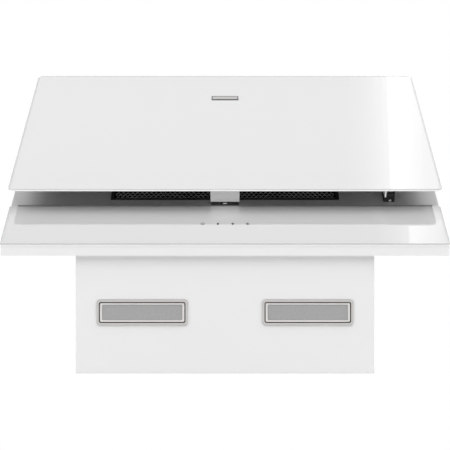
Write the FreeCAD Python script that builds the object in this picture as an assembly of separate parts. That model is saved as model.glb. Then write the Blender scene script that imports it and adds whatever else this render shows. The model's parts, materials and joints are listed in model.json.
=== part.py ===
import FreeCAD, Part
import math
import os

from FreeCAD import Placement, Rotation, Vector

# A wall-mounted range hood: two leaning glass panels on a steel canopy, over a narrower upright housing.
# Lengths are in millimetres. X runs along the width, -Y is the front, +Z is up. The origin lies under the middle,
# at the height of the housing's floor.

# Overall sizes
hood_width = 900.0
body_depth = 440.0
front_height = 260.3
spigot_reach = 45.0
glass_lean = 39.0
sheet = 1.0
overrun = 5.0
seat_gap = 0.3
running_gap = 0.05
press_gap = 0.02

# Control glass and the canopy under it
control_glass_run = 124.0
control_glass_thick = 4.5
control_glass_corner = 3.0
glass_bevel = 1.5
canopy_side_inset = 1.8
band_setback = 3.0
slab_depth = 15.5
return_lip = 10.0

# Filter opening in the canopy
filter_opening_half = 242.0
filter_opening_start = 150.0
filter_opening_length = 270.0
filter_seat_depth = 12.0
filter_ledge = 8.0
filter_bar_half = 10.0

# Filters
filter_side_gap = 0.5
filter_frame_border = 6.0
filter_top_drop = 0.5
mesh_drop = 1.5
mesh_lift = 1.7
handle_rise = 50.0
handle_arm = 24.0
handle_half = 13.0
handle_wire = 1.75
handle_bend = 5.0
handle_plate_half = 21.0
handle_plate_run = 14.0
handle_plate_thick = 1.3
handle_ear_thick = 3.0
handle_ear_radius = 3.2

# Lid: the large glass panel and its steel frame
lid_width = 894.0
lid_start = 116.5
lid_run = 452.5
lid_glass_thick = 4.5
lid_stand_off = 44.0
lid_corner = 11.0
lid_frame_inset = 27.0
lid_frame_front = 18.5
lid_frame_back = 34.0
lid_frame_depth = 14.0
lid_frame_corner = 6.0
rib_half = 14.0
rib_depth = 8.0
rib_pitch = 220.0
rib_end = 34.0
badge_centre_run = 351.0
badge_half = 31.0
badge_run = 16.5
badge_thick = 1.2
badge_corner = 1.5

# Magnetic catch at the middle of the lid's lower edge
catch_half = 30.5
catch_start = 16.5
catch_run = 20.0
catch_drop = 40.4
catch_wall = 3.0
catch_corner = 2.0
magnet_half = 15.0
magnet_run = 13.0
magnet_height = 10.0
keeper_radius = 4.2
keeper_head_radius = 6.5
keeper_head_height = 5.0
keeper_plate_half = 29.0
keeper_plate_run = 18.0
keeper_plate_lead = 3.0
keeper_plate_thick = 1.5

# Lid hinges
hinge_centre = 390.0
hinge_axis_run = 548.0
hinge_axis_height = 36.0
hinge_leaf_half = 15.0
hinge_cheek = 3.0
hinge_boss_radius = 6.5
hinge_knuckle_radius = 5.5
hinge_pin_radius = 3.0
hinge_pin_head = 1.5
hinge_pin_head_radius = 4.5
hinge_foot_before = 18.0
hinge_foot_after = 11.0
hinge_foot_thick = 2.5
hinge_leaf_run = 60.0
hinge_leaf_thick = 2.0

# Rubber buffers that the lid rests on
buffer_spread = 280.0
buffer_place = 210.0
buffer_radius = 7.0
buffer_waist = 5.0

# Gas strut at the right-hand side
strut_x = 345.0
strut_anchor_run = 157.0
strut_anchor_height = 10.0
strut_lid_run = 400.0
strut_lid_height = 15.0
strut_eye_half = 6.7
strut_eye_radius = 8.0
strut_pin_radius = 3.5
strut_cheek = 4.0
strut_bracket_before = 14.0
strut_bracket_after = 15.0
strut_bracket_base = 3.0
strut_bracket_nose = 3.0
strut_bracket_nose_height = 22.0
strut_tube_radius = 9.0
strut_tube_start = 6.0
strut_tube_length = 165.0
strut_neck = 8.0
strut_rod_radius = 4.0
strut_rod_inside = 72.0
strut_rail_thick = 2.5
strut_rail_foot = 14.0
strut_rail_start = 1.5
strut_rail_end = 318.5
strut_rail_lip = 3.0
strut_ear_half = 14.0
strut_stud_head = 5.0

# Lower housing, back panel and wall bracket
housing_width = 600.0
housing_setback = 14.0
housing_flange = 12.0
housing_bend = 2.0
back_gap = 3.0
back_flange = 12.0
wall_bracket_half = 150.0
wall_bracket_drop = 40.0
wall_bracket_height = 70.0
wall_hole_spread = 120.0
wall_hole_rise = 20.0
wall_hole_radius = 4.0
access_hole_radius = 9.0
bracket_screw_spread = 60.0
bracket_screw_radius = 2.5
bracket_screw_head_radius = 4.6
bracket_screw_head = 3.0
grommet_x = -235.0
grommet_drop = 205.0
grommet_radius = 12.0
grommet_hole = 5.0
grommet_groove_radius = 9.5
grommet_lip = 2.0
terminal_half = 45.0
terminal_depth = 40.0
terminal_height = 70.0
terminal_wall = 2.0
terminal_gap = 20.0

# Touch control module under the control glass
module_half = 80.0
module_start = 46.0
module_run = 36.0
module_depth = 24.0
module_wall = 2.0
board_thick = 1.6

# Lamps in the housing's front
lamp_spread = 166.2
lamp_height = 122.8
lamp_rim_half = 91.4
lamp_rim_rise = 25.9
lamp_rim_corner = 6.0
lamp_rim_proud = 3.0
lamp_rim_bevel = 1.2
lamp_window_half = 86.4
lamp_window_rise = 20.5
lamp_window_corner = 4.0
lamp_groove = 1.5
lamp_frame_proud = 2.0
lamp_lens_half = 80.0
lamp_lens_rise = 15.4
lamp_lens_corner = 2.0
lamp_lens_recess = 0.8
lamp_flange = 5.0
lamp_flange_thick = 2.0
lamp_body_depth = 28.0
lamp_body_inset = 4.0
lamp_fin_count = 7
lamp_fin_thick = 2.0
lamp_fin_depth = 10.0

# Blower: a double-inlet centrifugal fan that blows through the wall
fan_y = 40.0
fan_z = 150.0
impeller_radius = 85.0
impeller_inner = 69.0
impeller_half = 50.0
blade_count = 30
blade_thick = 1.2
blade_bow_share = 0.15
blade_sweep = 8.0
end_ring_width = 5.0
end_ring_thick = 3.0
hub_disc_half = 1.25
hub_radius = 12.0
hub_half = 8.0
shaft_radius = 4.0
shaft_inside = 34.0
scroll_start_radius = 95.0
scroll_growth = 60.0
scroll_half = 56.0
scroll_sheet = 1.5
tongue_rise = 54.5
spiral_points = 13
inlet_radius = 74.0
bell_flange_radius = 83.0
bell_flange_thick = 1.5
bell_throat_radius = 66.0
bell_lip_radius = 80.0
bell_lip_out = 8.0
bell_tip_gap = 1.5
bell_wall = 1.2
motor_radius = 40.0
motor_half_gap = 10.0
motor_length = 66.0
motor_round = 5.0
spider_thick = 3.0
spider_ring = 4.0
spider_foot_inner = 84.0
spider_foot_outer = 92.0
spider_arm = 12.0
spider_out = 9.5
spider_arms = 3
foot_half = 25.0
foot_thick = 2.0
foot_flange = 18.0
foot_overlap = 24.0

# Duct spigot with its non-return flaps
spigot_radius = 75.0
spigot_wall = 1.5
spigot_step = 1.5
spigot_taper = 1.0
spigot_inside = 25.0
spigot_flange_half = 80.0
spigot_ring = 11.0
flap_pin_radius = 1.25
flap_pin_spread = 4.0
flap_pin_from_mouth = 8.0
flap_knuckle_radius = 2.5
flap_thick = 1.2
flap_edge_gap = 0.6

# Places that follow from the sizes above
lean = math.radians(glass_lean)
rise = math.sin(lean)
reach = math.cos(lean)
front_y = -(body_depth + spigot_reach) / 2
wall_y = front_y + body_depth
pan_top = -control_glass_thick
pan_under = pan_top - slab_depth
half_width = hood_width / 2
lid_top = lid_stand_off + lid_glass_thick
lid_plate_under = lid_stand_off - sheet
lid_frame_under = lid_stand_off - lid_frame_depth
housing_y = front_y + housing_setback
housing_half = housing_width / 2
back_rear = wall_y - back_gap
back_front = back_rear - sheet
spigot_z = fan_z + (tongue_rise + scroll_start_radius + scroll_growth) / 2
spigot_mouth = wall_y - spigot_inside
slope = Placement(Vector(0, front_y, front_height), Rotation(Vector(1, 0, 0), glass_lean))


# Building blocks

def block(x0, x1, y0, y1, z0, z1):
    return Part.makeBox(x1 - x0, y1 - y0, z1 - z0, Vector(x0, y0, z0))


def edges_along(shape, direction):
    """The straight edges of a shape that run along a direction."""
    found = []
    for edge in shape.Edges:
        if len(edge.Vertexes) == 2:
            run = edge.Vertexes[1].Point - edge.Vertexes[0].Point
            if run.Length > 0 and run.cross(direction).Length < run.Length / 1000:
                found.append(edge)
    return found


def rounded_block(x0, x1, y0, y1, z0, z1, radius, direction):
    """A block with the four edges along one direction rounded."""
    plain = block(x0, x1, y0, y1, z0, z1)
    return plain.makeFillet(radius, edges_along(plain, direction))


def cylinder(radius, start, end):
    return Part.makeCylinder(radius, (end - start).Length, start, end - start)


def pin_x(radius, x0, x1, y, z):
    return cylinder(radius, Vector(x0, y, z), Vector(x1, y, z))


def prism_x(points, x0, x1):
    """A prism along X from its outline in Y and Z."""
    outline = Part.makePolygon([Vector(x0, y, z) for y, z in points + points[:1]])
    return Part.Face(outline).extrude(Vector(x1 - x0, 0, 0))


def joined(shapes):
    """Several shapes as one solid."""
    whole = shapes[0].multiFuse(shapes[1:]).removeSplitter()
    return whole.Solids[0] if len(whole.Solids) == 1 else whole


def on_slope(shape):
    """Moves a shape from the panels' frame, with X across, Y up the slope and Z off it, into the hood's frame."""
    return shape.transformed(slope.toMatrix())


def slope_line_z(y, height):
    """How high a line lies at a given Y that runs up the slope at a given height off it."""
    run = (y - front_y + height * rise) / reach
    return front_height + run * rise + height * reach


# The bracket and the lead's entry hang a set way below the canopy's rear edge
canopy_rear_low = slope_line_z(wall_y, pan_under)
wall_bracket_low = canopy_rear_low - wall_bracket_drop - wall_bracket_height
wall_bracket_middle = wall_bracket_low + wall_bracket_height / 2
grommet_height = canopy_rear_low - grommet_drop


def slope_strip(y0, y1, low, high, x0, x1):
    """A prism between two uprights and two heights off the slope."""
    corners = [(y0, slope_line_z(y0, low)), (y1, slope_line_z(y1, low))]
    corners += [(y1, slope_line_z(y1, high)), (y0, slope_line_z(y0, high))]
    return prism_x(corners, x0, x1)


def bevelled(shape, height, size):
    """Bevels the edges that lie at one height."""
    rim = [e for e in shape.Edges if abs(e.BoundBox.ZMin - height) < size / 10 > abs(e.BoundBox.ZMax - height)]
    return shape.makeChamfer(size, rim)


def bent_wire(points, bend, radius):
    """A round wire along straight runs with tangent bends at the corners."""
    path = []
    start = points[0]
    for before, corner, after in zip(points, points[1:], points[2:]):
        back = (before - corner).normalize()
        ahead = (after - corner).normalize()
        half_turn = (math.pi - back.getAngle(ahead)) / 2
        cut = bend * math.tan(half_turn)
        first = corner + back * cut
        last = corner + ahead * cut
        centre = corner + (back + ahead).normalize() * (bend / math.cos(half_turn))
        middle = centre + (corner - centre).normalize() * bend
        path.append(Part.LineSegment(start, first).toShape())
        path.append(Part.Arc(first, middle, last).toShape())
        start = last
    path.append(Part.LineSegment(start, points[-1]).toShape())
    ring = Part.Wire(Part.Circle(points[0], points[1] - points[0], radius).toShape())
    return Part.Wire(path).makePipeShell([ring], True, False)


def mirrored(shape):
    return shape.mirror(Vector(0, 0, 0), Vector(1, 0, 0))


# Canopy: a shallow steel tray that carries both glasses, with the filter opening and its ledge

def canopy_pan():
    band_y = front_y + band_setback
    half = half_width - canopy_side_inset
    tray = slope_strip(band_y, wall_y, pan_under, pan_top, -half, half)
    inner = half - sheet
    tray = tray.cut(slope_strip(band_y + sheet, wall_y - sheet, pan_under + sheet, pan_top - sheet, -inner, inner))
    throat = inner - return_lip
    throat_y = band_y + sheet + return_lip
    tray = tray.cut(slope_strip(throat_y, wall_y - sheet, pan_under - overrun, pan_top - sheet, -throat, throat))
    outer_half = filter_opening_half + sheet
    start = filter_opening_start
    end = filter_opening_start + filter_opening_length
    floor = pan_top - filter_seat_depth
    tray = tray.cut(on_slope(block(-outer_half, outer_half, start - sheet, end + sheet, floor, pan_top + overrun)))
    module_end = module_start + module_run
    window = block(-module_half, module_half, module_start, module_end, pan_top - module_depth, pan_top + overrun)
    tray = tray.cut(on_slope(window))
    seat = block(-outer_half, outer_half, start - sheet, end + sheet, floor, pan_top)
    pocket_half = filter_opening_half
    seat = seat.cut(block(-pocket_half, pocket_half, start, end, floor + sheet, pan_top + overrun))
    for x0, x1 in ((-pocket_half + filter_ledge, -filter_bar_half), (filter_bar_half, pocket_half - filter_ledge)):
        seat = seat.cut(block(x0, x1, start + filter_ledge, end - filter_ledge, floor - overrun, floor + overrun))
    return joined([tray, on_slope(seat)])


def control_glass():
    glass = rounded_block(-half_width, half_width, 0, control_glass_run, -control_glass_thick, 0,
                          control_glass_corner, Vector(0, 0, 1))
    return on_slope(bevelled(glass, 0, glass_bevel))


def control_board():
    inset = module_wall
    end = module_start + module_run - inset
    return on_slope(block(-module_half + inset, module_half - inset, module_start + inset, end,
                          pan_top - board_thick, pan_top))


def control_cover():
    end = module_start + module_run
    floor = pan_top - module_depth
    box = block(-module_half, module_half, module_start, end, floor, pan_top)
    inset = module_wall
    hollow = block(-module_half + inset, module_half - inset, module_start + inset, end - inset,
                   floor + inset, pan_top + overrun)
    return on_slope(box.cut(hollow))


# Lower housing: an upright box under the canopy, open at the top and the back

def lamp_outline(side, half, rise_half, corner, y0, y1):
    centre = side * lamp_spread
    return rounded_block(centre - half, centre + half, y0, y1, lamp_height - rise_half, lamp_height + rise_half,
                         corner, Vector(0, 1, 0))


def lower_housing():
    top = pan_top - sheet
    half = housing_half

    def box(y0, y1, x_half, z0, height):
        return prism_x([(y0, z0), (y1, z0), (y1, slope_line_z(y1, height)), (y0, slope_line_z(y0, height))],
                       -x_half, x_half)

    shell = box(housing_y, back_rear, half, 0, top)
    front_edges = [e for e in shell.Edges if e.BoundBox.YMax < housing_y + sheet]
    folds = [e for e in front_edges if e.BoundBox.ZMax < sheet or e.BoundBox.XLength < sheet]
    shell = shell.makeFillet(housing_bend, folds)
    shell = shell.cut(box(housing_y + sheet, back_rear + overrun, half - sheet, sheet, top - sheet))
    inner_y = housing_y + sheet + housing_flange
    inner_half = half - sheet - housing_flange
    shell = shell.cut(box(inner_y, back_rear + overrun, inner_half, sheet, top + overrun))
    for side in (-1, 1):
        shell = shell.cut(lamp_outline(side, lamp_window_half, lamp_window_rise, lamp_window_corner,
                                       housing_y - overrun, housing_y + overrun))
    notch_half = module_half + seat_gap
    notch_end = module_start + module_run + seat_gap
    return shell.cut(on_slope(block(-notch_half, notch_half, module_start - seat_gap, notch_end,
                                    pan_top - module_depth, pan_top)))


def back_panel():
    half = housing_half - sheet
    front = back_front - back_flange
    top = pan_top - 2 * sheet

    def box(y0, y1, x_half, z0, height):
        return prism_x([(y0, z0), (y1, z0), (y1, slope_line_z(y1, height)), (y0, slope_line_z(y0, height))],
                       -x_half, x_half)

    panel = box(front, back_rear, half, sheet, top)
    panel = panel.cut(box(front - overrun, back_front, half - sheet, 2 * sheet, top - sheet))
    hole_from = Vector(0, back_front - overrun, spigot_z)
    hole_to = Vector(0, back_rear + overrun, spigot_z)
    panel = panel.cut(cylinder(spigot_radius + spigot_step + press_gap, hole_from, hole_to))
    for x, z in wall_holes():
        panel = panel.cut(through_back(access_hole_radius, x, z))
    for x, z in bracket_screw_places():
        panel = panel.cut(through_back(bracket_screw_radius + press_gap, x, z))
    return panel.cut(through_back(grommet_groove_radius, grommet_x, grommet_height))


def through_back(radius, x, z):
    return cylinder(radius, Vector(x, back_front - overrun, z), Vector(x, wall_y + overrun, z))


def four_places(spread):
    return [(side * spread, wall_bracket_middle + up * wall_hole_rise) for side in (-1, 1) for up in (-1, 1)]


def wall_holes():
    return four_places(wall_hole_spread)


def bracket_screw_places():
    return four_places(bracket_screw_spread)


def wall_bracket():
    plate = block(-wall_bracket_half, wall_bracket_half, back_rear, wall_y,
                  wall_bracket_low, wall_bracket_low + wall_bracket_height)
    for x, z in wall_holes():
        plate = plate.cut(through_back(wall_hole_radius, x, z))
    for x, z in bracket_screw_places():
        plate = plate.cut(through_back(bracket_screw_radius + press_gap, x, z))
    return plate


def bracket_screws():
    screws = []
    for x, z in bracket_screw_places():
        shank = cylinder(bracket_screw_radius, Vector(x, back_front, z), Vector(x, wall_y, z))
        head = cylinder(bracket_screw_head_radius, Vector(x, back_front - bracket_screw_head, z),
                        Vector(x, back_front, z))
        head = head.makeFillet(bracket_screw_head / 2, [e for e in head.Edges
                                                        if e.BoundBox.YMax < back_front - bracket_screw_head / 2])
        screws.append(joined([shank, head]))
    return Part.makeCompound(screws)


def cable_grommet():
    """A rubber ring that the supply lead would come through."""
    lip_front = back_front - grommet_lip
    lip_rear = back_rear + grommet_lip
    ring = cylinder(grommet_radius, Vector(grommet_x, lip_front, grommet_height),
                    Vector(grommet_x, lip_rear, grommet_height))
    groove = cylinder(grommet_radius + overrun, Vector(grommet_x, back_front, grommet_height),
                      Vector(grommet_x, back_rear, grommet_height))
    core = cylinder(grommet_groove_radius, Vector(grommet_x, lip_front, grommet_height),
                    Vector(grommet_x, lip_rear, grommet_height))
    bore = cylinder(grommet_hole, Vector(grommet_x, lip_front - overrun, grommet_height),
                    Vector(grommet_x, lip_rear + overrun, grommet_height))
    return joined([ring.cut(groove), core]).cut(bore)


def terminal_box():
    x0 = grommet_x - terminal_half
    x1 = grommet_x + terminal_half
    z0 = grommet_height + terminal_gap
    z1 = z0 + terminal_height
    y0 = back_front - terminal_depth
    box = rounded_block(x0, x1, y0, back_front, z0, z1, terminal_wall, Vector(0, 1, 0))
    wall = terminal_wall
    hollow = block(x0 + wall, x1 - wall, y0 + wall, back_front + overrun, z0 + wall, z1 - wall)
    entry = cylinder(grommet_hole, Vector(grommet_x, back_front - terminal_depth / 2, z0 - overrun),
                     Vector(grommet_x, back_front - terminal_depth / 2, z0 + overrun))
    return box.cut(hollow).cut(entry)


# Lamps

def lamp_rim(side):
    rim = lamp_outline(side, lamp_rim_half, lamp_rim_rise, lamp_rim_corner, housing_y - lamp_rim_proud, housing_y)
    face = [e for e in rim.Edges if e.BoundBox.YMax < housing_y - lamp_rim_proud / 2]
    rim = rim.makeChamfer(lamp_rim_bevel, face)
    return rim.cut(lamp_outline(side, lamp_window_half, lamp_window_rise, lamp_window_corner,
                                housing_y - lamp_rim_proud - overrun, housing_y + overrun))


def lamp_frame(side):
    front = housing_y - lamp_frame_proud
    frame = lamp_outline(side, lamp_window_half - lamp_groove, lamp_window_rise - lamp_groove,
                         lamp_window_corner - lamp_groove, front, housing_y + sheet)
    return frame.cut(lamp_outline(side, lamp_lens_half, lamp_lens_rise, lamp_lens_corner,
                                  front - overrun, housing_y + sheet + overrun))


def lamp_lens(side):
    front = housing_y - lamp_frame_proud + lamp_lens_recess
    return lamp_outline(side, lamp_lens_half, lamp_lens_rise, lamp_lens_corner, front, housing_y + sheet)


def lamp_body(side):
    flange_y = housing_y + sheet
    body_y = flange_y + lamp_flange_thick
    half = lamp_window_half - lamp_body_inset
    rise_half = lamp_window_rise - lamp_body_inset
    flange = lamp_outline(side, lamp_window_half + lamp_flange, lamp_window_rise + lamp_flange,
                          lamp_window_corner, flange_y, body_y)
    shell = lamp_outline(side, half, rise_half, lamp_lens_corner, flange_y, flange_y + lamp_body_depth)
    pieces = [flange, shell]
    pitch = 2 * half / (lamp_fin_count + 1)
    for index in range(lamp_fin_count):
        x = side * lamp_spread - half + pitch * (index + 1)
        fin_y = flange_y + lamp_body_depth
        pieces.append(block(x - lamp_fin_thick / 2, x + lamp_fin_thick / 2, fin_y, fin_y + lamp_fin_depth,
                            lamp_height - rise_half, lamp_height + rise_half))
    return joined(pieces)


# Lid: the glass, its frame, and what hangs from it

def lid_glass():
    half = lid_width / 2
    glass = rounded_block(-half, half, lid_start, lid_start + lid_run, lid_stand_off, lid_top,
                          lid_corner, Vector(0, 0, 1))
    return on_slope(bevelled(glass, lid_top, glass_bevel))


def lid_frame():
    half = lid_width / 2 - lid_frame_inset
    start = lid_start + lid_frame_front
    end = lid_start + lid_run - lid_frame_back
    tray = rounded_block(-half, half, start, end, lid_frame_under, lid_stand_off, lid_frame_corner, Vector(0, 0, 1))
    hollow = rounded_block(-half + sheet, half - sheet, start + sheet, end - sheet, lid_frame_under - overrun,
                           lid_plate_under, lid_frame_corner - sheet, Vector(0, 0, 1))
    tray = tray.cut(hollow)
    pieces = [tray]
    rib_floor = lid_plate_under - rib_depth
    for place in (-1, 0, 1):
        x = place * rib_pitch
        rib = block(x - rib_half, x + rib_half, start + rib_end, end - rib_end, rib_floor, lid_plate_under)
        groove = block(x - rib_half + sheet, x + rib_half - sheet, start + rib_end + sheet, end - rib_end - sheet,
                       rib_floor + sheet, lid_plate_under + overrun)
        pieces[0] = pieces[0].cut(groove)
        pieces.append(rib.cut(groove))
    frame = joined(pieces)
    catch_end = lid_start + catch_start + catch_run + seat_gap
    frame = frame.cut(block(-catch_half - seat_gap, catch_half + seat_gap, start - overrun, catch_end,
                            lid_frame_under - overrun, lid_top))
    leaf = hinge_leaf_half + seat_gap
    for side in (-1, 1):
        x = side * hinge_centre
        frame = frame.cut(block(x - leaf, x + leaf, end - 2 * sheet, end + overrun, lid_frame_under - overrun,
                                lid_plate_under))
    rail = strut_x - strut_eye_half - strut_stud_head - seat_gap
    frame = frame.cut(block(rail - strut_rail_thick - strut_rail_foot - seat_gap, rail + seat_gap,
                            start - overrun, start + 2 * sheet, lid_frame_under - overrun, lid_plate_under))
    return on_slope(frame)


def badge_plate():
    middle = lid_start + badge_centre_run
    plate = rounded_block(-badge_half, badge_half, middle - badge_run / 2, middle + badge_run / 2,
                          lid_top, lid_top + badge_thick, badge_corner, Vector(0, 0, 1))
    return on_slope(bevelled(plate, lid_top + badge_thick, badge_thick / 3))


def catch_housing():
    start = lid_start + catch_start
    end = start + catch_run
    floor = lid_stand_off - catch_drop
    shell = rounded_block(-catch_half, catch_half, start, end, floor, lid_stand_off, catch_corner, Vector(0, 0, 1))
    wall = catch_wall
    ceiling = keeper_top() + seat_gap + magnet_height
    hollow = block(-catch_half + wall, catch_half - wall, start + wall, end - wall, floor - overrun, ceiling)
    return on_slope(shell.cut(hollow))


def keeper_top():
    """The keeper's head reaches as high as leaves the magnet its own height in the housing."""
    return lid_stand_off - 2 * catch_wall - magnet_height


def catch_middle():
    return lid_start + catch_start + catch_run / 2


def catch_magnet():
    low = keeper_top() + seat_gap
    middle = catch_middle()
    return on_slope(block(-magnet_half, magnet_half, middle - magnet_run / 2, middle + magnet_run / 2,
                          low, low + magnet_height))


def keeper_post():
    middle = catch_middle()
    half_run = keeper_plate_run / 2
    centre = middle - keeper_plate_lead
    plate = rounded_block(-keeper_plate_half, keeper_plate_half, centre - half_run, centre + half_run,
                          pan_top, pan_top + keeper_plate_thick, catch_corner, Vector(0, 0, 1))
    stem = cylinder(keeper_radius, Vector(0, middle, pan_top), Vector(0, middle, keeper_top()))
    head_low = keeper_top() - keeper_head_height
    head = cylinder(keeper_head_radius, Vector(0, middle, head_low), Vector(0, middle, keeper_top()))
    return on_slope(joined([plate, stem, head]))


def lid_buffers():
    height = lid_plate_under - seat_gap
    waist_low = pan_top + buffer_radius
    pieces = []
    for side in (-1, 1):
        x = side * buffer_spread
        outline = [Vector(x, buffer_place, pan_top), Vector(x + buffer_radius, buffer_place, pan_top),
                   Vector(x + buffer_waist, buffer_place, waist_low), Vector(x + buffer_waist, buffer_place, height),
                   Vector(x, buffer_place, height)]
        face = Part.Face(Part.makePolygon(outline + outline[:1]))
        pieces.append(on_slope(face.revolve(Vector(x, buffer_place, 0), Vector(0, 0, 1), 360)))
    return Part.makeCompound(pieces)


# Lid hinges: a two-cheeked base on the canopy, a pin, and a leaf under the lid's frame

def hinge_base(side):
    x = side * hinge_centre
    inner = hinge_leaf_half + seat_gap
    outer = inner + hinge_cheek
    foot_start = hinge_axis_run - hinge_foot_before
    foot_end = hinge_axis_run + hinge_foot_after
    foot_top = pan_top + hinge_foot_thick
    pieces = [block(x - outer, x + outer, foot_start, foot_end, pan_top, foot_top)]
    for x0, x1 in ((x - outer, x - inner), (x + inner, x + outer)):
        boss = hinge_boss_radius
        outline = [(foot_start + hinge_cheek, pan_top), (foot_end, pan_top),
                   (hinge_axis_run + boss, hinge_axis_height), (hinge_axis_run - boss, hinge_axis_height)]
        pieces.append(prism_x(outline, x0, x1))
        pieces.append(pin_x(boss, x0, x1, hinge_axis_run, hinge_axis_height))
    base = joined(pieces)
    hole = pin_x(hinge_pin_radius + press_gap, x - outer - overrun, x + outer + overrun,
                 hinge_axis_run, hinge_axis_height)
    return on_slope(base.cut(hole))


def hinge_pin(side):
    x = side * hinge_centre
    outer = hinge_leaf_half + seat_gap + hinge_cheek
    stem = pin_x(hinge_pin_radius, x - outer, x + outer, hinge_axis_run, hinge_axis_height)
    heads = [pin_x(hinge_pin_head_radius, x0, x0 + hinge_pin_head, hinge_axis_run, hinge_axis_height)
             for x0 in (x - outer - hinge_pin_head, x + outer)]
    return on_slope(joined([stem] + heads))


def hinge_leaf(side):
    x = side * hinge_centre
    half = hinge_leaf_half
    knuckle = pin_x(hinge_knuckle_radius, x - half, x + half, hinge_axis_run, hinge_axis_height)
    plate_low = lid_plate_under - hinge_leaf_thick
    plate = block(x - half, x + half, hinge_axis_run - hinge_leaf_run, hinge_axis_run, plate_low, lid_plate_under)
    web = block(x - half, x + half, hinge_axis_run - hinge_knuckle_radius, hinge_axis_run,
                hinge_axis_height, lid_plate_under)
    leaf = joined([knuckle, plate, web])
    bore = pin_x(hinge_pin_radius + running_gap, x - half - overrun, x + half + overrun,
                 hinge_axis_run, hinge_axis_height)
    return on_slope(leaf.cut(bore))


# Gas strut: its bracket on the canopy, tube, rod, and the rail and stud on the lid

strut_span = math.hypot(strut_lid_run - strut_anchor_run, strut_lid_height - strut_anchor_height)
strut_tilt = math.degrees(math.atan2(strut_lid_height - strut_anchor_height, strut_lid_run - strut_anchor_run))


def along_strut(shape):
    """Moves a shape from the strut's own frame, with Y along it from the lower pin, onto the slope."""
    place = Placement(Vector(strut_x, strut_anchor_run, strut_anchor_height), Rotation(Vector(1, 0, 0), strut_tilt))
    return on_slope(shape.transformed(place.toMatrix()))


def strut_bracket():
    inner = strut_eye_half + seat_gap
    outer = inner + strut_cheek
    x0 = strut_x - outer
    x1 = strut_x + outer
    start = strut_anchor_run - strut_bracket_before
    end = strut_anchor_run + strut_bracket_after
    base_top = pan_top + strut_bracket_base
    nose_top = pan_top + strut_bracket_nose_height
    pieces = [block(x0, x1, start, end, pan_top, base_top)]
    pieces.append(block(x0, x1, start, start + strut_bracket_nose, pan_top, nose_top))
    for low, high in ((x0, strut_x - inner), (strut_x + inner, x1)):
        boss = strut_eye_radius
        outline = [(start, pan_top), (end, pan_top), (strut_anchor_run + boss, strut_anchor_height),
                   (strut_anchor_run, strut_anchor_height + boss), (start, nose_top)]
        pieces.append(prism_x(outline, low, high))
        pieces.append(pin_x(boss, low, high, strut_anchor_run, strut_anchor_height))
    hole = pin_x(strut_pin_radius + press_gap, x0 - overrun, x1 + overrun, strut_anchor_run, strut_anchor_height)
    return on_slope(joined(pieces).cut(hole))


def strut_pin():
    outer = strut_eye_half + seat_gap + strut_cheek
    return on_slope(pin_x(strut_pin_radius, strut_x - outer, strut_x + outer, strut_anchor_run, strut_anchor_height))


def strut_tube():
    eye = pin_x(strut_eye_radius, -strut_eye_half, strut_eye_half, 0, 0)
    neck = cylinder(strut_eye_half, Vector(0, 0, 0), Vector(0, strut_tube_start + strut_neck, 0))
    tube_start = strut_tube_start + strut_neck
    tube_end = tube_start + strut_tube_length
    tube = cylinder(strut_tube_radius, Vector(0, tube_start, 0), Vector(0, tube_end, 0))
    tube = tube.makeFillet(strut_tube_radius - strut_eye_half, list(tube.Edges[:1]) + list(tube.Edges[2:3]))
    body = joined([eye, neck, tube])
    bore = cylinder(strut_rod_radius + running_gap, Vector(0, strut_tube_start + 2 * strut_neck, 0),
                    Vector(0, tube_end + overrun, 0))
    hole = pin_x(strut_pin_radius + running_gap, -strut_eye_half - overrun, strut_eye_half + overrun, 0, 0)
    return along_strut(body.cut(bore).cut(hole))


def strut_rod():
    tube_end = strut_tube_start + strut_neck + strut_tube_length
    rod_start = tube_end - strut_rod_inside - strut_neck
    eye = pin_x(strut_eye_radius, -strut_eye_half, strut_eye_half, strut_span, 0)
    neck = cylinder(strut_eye_half, Vector(0, strut_span - strut_eye_radius - strut_neck, 0), Vector(0, strut_span, 0))
    stem = cylinder(strut_rod_radius, Vector(0, rod_start, 0), Vector(0, strut_span, 0))
    hole = pin_x(strut_pin_radius, -strut_eye_half - overrun, strut_eye_half + overrun, strut_span, 0)
    return along_strut(joined([eye, neck, stem]).cut(hole))


def strut_rail():
    """An angle under the lid's frame, deeper at the ear that carries the upper stud."""
    web_x1 = strut_x - strut_eye_half - strut_stud_head - seat_gap
    web_x0 = web_x1 - strut_rail_thick
    start = lid_start + strut_rail_start
    end = lid_start + strut_rail_end
    low = lid_frame_under - strut_rail_lip
    top = lid_plate_under
    ear_low = strut_lid_height - strut_eye_radius
    nose = lid_start + lid_frame_front
    outline = [(start, top), (start, low), (strut_lid_run - 2 * strut_ear_half, low),
               (strut_lid_run - strut_ear_half / 2, ear_low), (strut_lid_run + strut_ear_half / 2, ear_low),
               (end, low), (end, top)]
    web = prism_x(outline, web_x0, web_x1)
    foot = block(web_x0 - strut_rail_foot, web_x0, nose, end, top - strut_rail_thick, top)
    return on_slope(joined([web, foot]))


def strut_stud():
    tip = strut_x - strut_eye_half - seat_gap
    return on_slope(pin_x(strut_pin_radius, tip - strut_stud_head, tip, strut_lid_run, strut_lid_height))


# Grease filters: a frame, a mesh pad and a folding pull handle each

filter_bottom = pan_top - filter_seat_depth + sheet + seat_gap
filter_top = pan_top - filter_top_drop


def filter_box(side, inset, low, high):
    """The space of one filter, drawn in on all four sides."""
    near = filter_side_gap + inset
    far = filter_opening_half - filter_side_gap - inset
    start = filter_opening_start + filter_side_gap + inset
    end = filter_opening_start + filter_opening_length - filter_side_gap - inset
    x0, x1 = sorted((side * near, side * far))
    return block(x0, x1, start, end, low, high)


def filter_frame(side):
    ring = filter_box(side, 0, filter_bottom, filter_top)
    ring = ring.makeFillet(filter_side_gap, edges_along(ring, Vector(0, 0, 1)))
    window = filter_box(side, filter_frame_border, filter_bottom - overrun, filter_top + overrun)
    return on_slope(ring.cut(window))


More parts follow.
